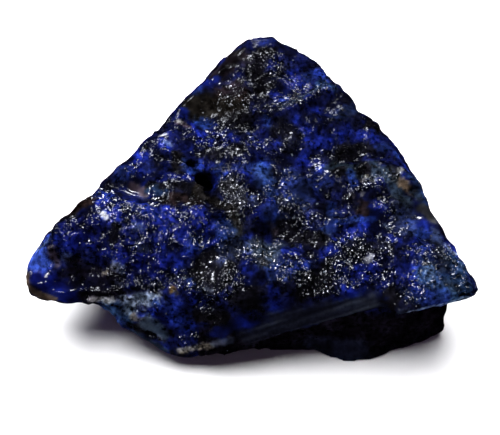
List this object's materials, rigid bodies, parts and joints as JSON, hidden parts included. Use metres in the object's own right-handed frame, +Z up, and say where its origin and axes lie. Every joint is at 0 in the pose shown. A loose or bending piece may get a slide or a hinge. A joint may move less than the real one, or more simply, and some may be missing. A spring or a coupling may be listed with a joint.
{
  "type": "rough sapphire",
  "caption": "Rough lump of blue corundum with a wide sloping cleavage face, overhanging corners and a flat base to rest on.",
  "frame": {"origin": "middle of the stone's bounding box in plan, on the plane that it rests on", "axes": "+Z up, +X towards the stone's right corner, -Y towards the side that the cleavage face leans to"},
  "size_m": [0.1054, 0.0806, 0.04],
  "materials": {
    "sapphire": "rough broken corundum, glossy as if wet, deep blue with black-brown matrix patches, teal and pale grey zones and cream grains"
  },
  "bodies": {
    "root": {"sapphire": "sapphire"}
  },
  "joints": []
}
